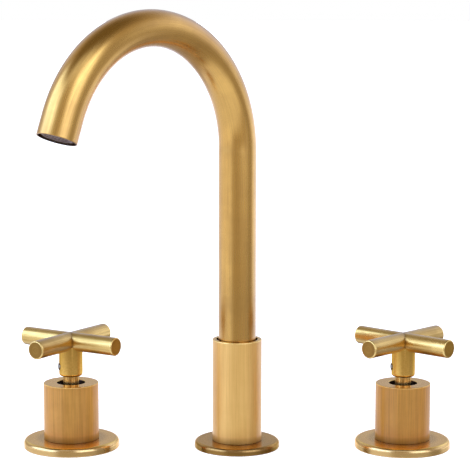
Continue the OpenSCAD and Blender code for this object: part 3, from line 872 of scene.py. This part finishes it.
def make_valve_body(side):
    """A valve's threaded body with its supply tail below and the hose port at its side."""
    x = VALVE_X[side]
    low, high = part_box(side + "_valve_body")
    tail_r, tail_top, riser_r, bore_r = 10.48 * MM, -62 * MM, 7 * MM, 5.5 * MM
    chamber_r, chamber_floor, riser_floor = 10.48 * MM, -56 * MM, -60 * MM
    shank_thread_end, port_z = -38 * MM, -50 * MM
    body = threaded(side + "_threaded_body", [
        (bore_r, low.z, 0.3 * MM, 0), (tail_r, low.z, 0.8 * MM, 0),
        (tail_r, tail_top, 0.2 * MM, 0), (SHANK_R, tail_top, 0.8 * MM, 0),
        (SHANK_R, high.z, 0.5 * MM, 0), (chamber_r, high.z, 0.4 * MM, 0),
        (chamber_r, chamber_floor, 0.2 * MM, 0), (riser_r, chamber_floor, 0.2 * MM, 0),
        (riser_r, riser_floor, 0.1 * MM, 0), (bore_r, riser_floor, 0.2 * MM, 0),
    ], [(PITCH_SHANK, low.z + 0.8 * MM, tail_top - MM, tail_r),
        (PITCH_SHANK, shank_thread_end, THREAD_TOP, SHANK_R)], Straight((x, 0, 0)))
    azimuth = PORT_AZIMUTH[side]
    add_port(body, port_axis(x, port_z, azimuth), 31 * MM, 4.6 * MM, 8 * MM)
    add(body, "deck_fittings", "plain_brass", side + "_valve_body")


def make_clamp_washers(prefix, x):
    """A rubber and a steel washer on a shank below the deck."""
    inner = SHANK_R + 0.1 * MM
    washers = [("rubber_washer", 0.7 * MM, "black_rubber"), ("metal_washer", 0.3 * MM, "steel")]
    for part, edge, slot in washers:
        low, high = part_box(prefix + "_" + part)
        r = high.x - x
        washer = lathe(prefix + "_clamp_" + part, rounded([
            (inner, low.z, edge, 0), (r, low.z, edge, 0), (r, high.z, edge, 0),
            (inner, high.z, edge, 0),
        ], 4), Straight((x, 0, 0)), 96, materials=[SLOT_LOOKS[slot]])
        add(washer, "deck_fittings", slot, prefix + "_" + part)


def make_lock_nut(prefix, x):
    """The hexagon nut below the washers, with chamfered corners and bore."""
    low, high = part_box(prefix + "_lock_nut")
    corner = high.x - x
    flat = corner * math.cos(math.pi / 6)
    face_r = 0.96 * flat
    bore, chamfer = SHANK_R + SLIP, 0.6 * MM
    slope = math.tan(math.radians(30))
    steps = 6

    def hexagon(r, z, angle):
        """The radius of the round blank, cut back to the six flats outside the face."""
        if r < face_r:
            return r
        return min(r, flat / math.cos(angle % (math.pi / 3) - math.pi / 6))

    cone = [face_r + (corner - face_r) * k / steps for k in range(steps + 1)]
    outline = [(bore + chamfer, low.z, CORNER_WEAR, 0)]
    outline += [(r, low.z + (r - face_r) * slope, 0.5, 0) for r in cone]
    outline += [(r, high.z - (r - face_r) * slope, 0.5, 0) for r in reversed(cone)]
    outline += [(bore + chamfer, high.z, CORNER_WEAR, 0), (bore, high.z - chamfer, 0.0, 0)]
    outline += [(bore, low.z + chamfer, 0.0, 0)]
    nut = lathe(prefix + "_hexagon_nut", outline, Straight((x, 0, 0)), 120, hexagon, [BARE])
    add(nut, "deck_fittings", "plain_brass", prefix + "_lock_nut")


# ---- carried-over CAD nodes ----

def dress_cad_nodes():
    """Every CAD node that still shows gets the look of its material slot."""
    slots = {s["node"]: s["material_slot"] for s in frame["record"]["subparts"]}
    for name, piece in frame["nodes"].items():
        piece.data.materials.clear()
        look = SLOT_LOOKS[slots[name]]
        if name == "outlet_sleeve" or name.endswith("_cartridge_body"):
            look = SHADED_BRASS
        elif name.endswith("_spindle"):
            look = SPINDLE_BRASS
        piece.data.materials.append(look)


# ---- stage, light and camera ----

def make_floor():
    """A wide white floor; the polished metal sees the studio below the horizon instead of it."""
    bpy.ops.mesh.primitive_plane_add(size=60, location=(0, 0, 0))
    floor = bpy.context.object
    floor.name = "pale_floor"
    s = Shader("pale_floor")
    s.bsdf.inputs["Base Color"].default_value = (0.97, 0.94, 0.86, 1)
    s.bsdf.inputs["Roughness"].default_value = 0.9
    s.bsdf.inputs["Specular IOR Level"].default_value = 0.1
    s.bsdf.inputs["Emission Color"].default_value = (1, 1, 1, 1)
    s.bsdf.inputs["Emission Strength"].default_value = 0.3
    floor.data.materials.append(s.material)
    floor.visible_glossy = False
    floor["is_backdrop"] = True


# What surrounds the metal: azimuth (0 in front, 90 to the right, 180 behind), elevation, half the
# width, half the height, softness (all in degrees), brightness and coolness. Later ones cover
# earlier ones.
STUDIO_BASE = (0.45, 0.45, 0.45)
COOL_GREEN, COOL_BLUE = 0.22, 0.8   # how much coolness adds to green and to blue
STUDIO = [
    ("pale_table", -35, -50, 105, 50, 12, 0.90, 0.9),
    ("far_front", 15, -10, 45, 9, 8, 0.46, 0.0),
    ("far_left", -80, -10, 40, 10, 9, 1.05, 0.8),
    ("dark_right", 100, -30, 38, 62, 14, 0.40, 0.3),
    ("far_right", 122, -7, 20, 9, 9, 1.25, 1.0),
    ("white_backdrop", 180, -9, 40, 13, 6, 1.30, 0.5),
    ("back_wall", 180, 26, 60, 14, 12, 0.60, 0.7),
    ("dark_ceiling", 0, 90, 360, 34, 14, 0.17, -0.6),
    ("front_canopy", 0, 60, 42, 9, 12, 0.88, 1.1),
    ("right_wall", 122, 22, 30, 16, 12, 1.05, 0.9),
    ("left_box", -72, 28, 36, 20, 9, 2.00, 2.2),
    ("right_box", 40, 25, 22, 24, 9, 1.90, 1.3),
]


def make_world():
    """Soft boxes and walls as bright and dark patches of the world; the camera sees plain white."""
    world = bpy.data.worlds.new("studio")
    bpy.context.scene.world = world
    world.use_nodes = True
    tree = world.node_tree
    tree.nodes.clear()

    def part(kind, *operands):
        return arithmetic(tree, kind, *operands)

    def inside(distance, half, soft):
        """1 within half of a patch's middle, with a soft edge down to 0."""
        made = node(tree, "ShaderNodeMapRange", interpolation_type="SMOOTHSTEP")
        made.inputs["From Min"].default_value = half + soft
        made.inputs["From Max"].default_value = half - soft
        tree.links.new(distance, made.inputs["Value"])
        return made.outputs[0]

    direction = tree.nodes.new("ShaderNodeSeparateXYZ")
    tree.links.new(tree.nodes.new("ShaderNodeTexCoord").outputs["Generated"], direction.inputs[0])
    x, y, z = direction.outputs
    azimuth = part("DEGREES", part("ARCTAN2", x, part("MULTIPLY", y, -1.0)))
    elevation = part("DEGREES", part("ARCSINE", z))
    light = STUDIO_BASE
    for _, centre, height, wide, tall, soft, brightness, coolness in STUDIO:
        offset = part("SUBTRACT", azimuth, float(centre))
        turn = part("ABSOLUTE", part("WRAP", offset, 180.0, -180.0))
        rise = part("ABSOLUTE", part("SUBTRACT", elevation, float(height)))
        factor = part("MULTIPLY", inside(turn, wide, soft), inside(rise, tall, soft))
        green = brightness * (1 + COOL_GREEN * coolness)
        blue = brightness * (1 + COOL_BLUE * coolness)
        light = blend(tree, factor, light, (brightness, green, blue))
    studio = tree.nodes.new("ShaderNodeBackground")
    tree.links.new(light, studio.inputs["Color"])
    white = tree.nodes.new("ShaderNodeBackground")
    white.inputs["Color"].default_value = (1, 1, 1, 1)
    seen = tree.nodes.new("ShaderNodeLightPath")
    choose = tree.nodes.new("ShaderNodeMixShader")
    tree.links.new(seen.outputs["Is Camera Ray"], choose.inputs[0])
    tree.links.new(studio.outputs[0], choose.inputs[1])
    tree.links.new(white.outputs[0], choose.inputs[2])
    tree.links.new(choose.outputs[0], tree.nodes.new("ShaderNodeOutputWorld").inputs["Surface"])


def make_lights():
    """A very soft light from above for the floor and the non-metal pieces."""
    data = bpy.data.lights.new("overhead", "SUN")
    data.energy = 2.1
    data.angle = math.radians(100)
    lamp = bpy.data.objects.new("overhead", data)
    lamp.rotation_euler = (math.radians(12), math.radians(-10), 0)
    lamp.visible_glossy = False
    bpy.context.scene.collection.objects.link(lamp)


def make_camera():
    """A long lens in front of the mixer, a little above it and looking slightly down."""
    data = bpy.data.cameras.new("camera")
    data.sensor_width = 36
    data.lens = 131.5
    camera = bpy.data.objects.new("camera", data)
    camera.location = (-0.0022, -1.030, 0.268)
    pitch, roll, yaw = math.radians(7.58), math.radians(0.1), math.radians(0.044)
    level = Vector((math.sin(yaw), math.cos(yaw), 0))
    look = level * math.cos(pitch) - Vector((0, 0, math.sin(pitch)))
    camera.rotation_mode = "QUATERNION"
    camera.rotation_quaternion = look.to_track_quat("-Z", "Y") @ Quaternion((0, 0, 1), roll)
    bpy.context.scene.collection.objects.link(camera)
    bpy.context.scene.camera = camera


dress_cad_nodes()
make_tube()
make_spout_collar()
make_flange("spout_base_flange", "spout_flange", 0.0, SPOUT_SHADED_R, SHADED_SPOUT_FLANGE, SHADED_SPOUT_RIM)
for valve in ("hot", "cold"):
    make_flange(valve + "_base_flange", valve + "_flange", VALVE_X[valve], VALVE_SHADED_R,
                TURNED, VALVE_RIM)
    make_valve_collar(valve)
    make_handle(valve)
    make_valve_body(valve)
    make_clamp_washers(valve, VALVE_X[valve])
    make_lock_nut(valve, VALVE_X[valve])
make_spout_shank()
make_tee()
make_clamp_washers("spout", 0.0)
make_lock_nut("spout", 0.0)
make_floor()
make_world()
make_lights()
make_camera()
bpy.context.scene.view_settings.view_transform = "Standard"

boxes = {"cad": CAD_BOX, "visual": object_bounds()}
{k: [list(corner) for corner in v] for k, v in boxes.items()}
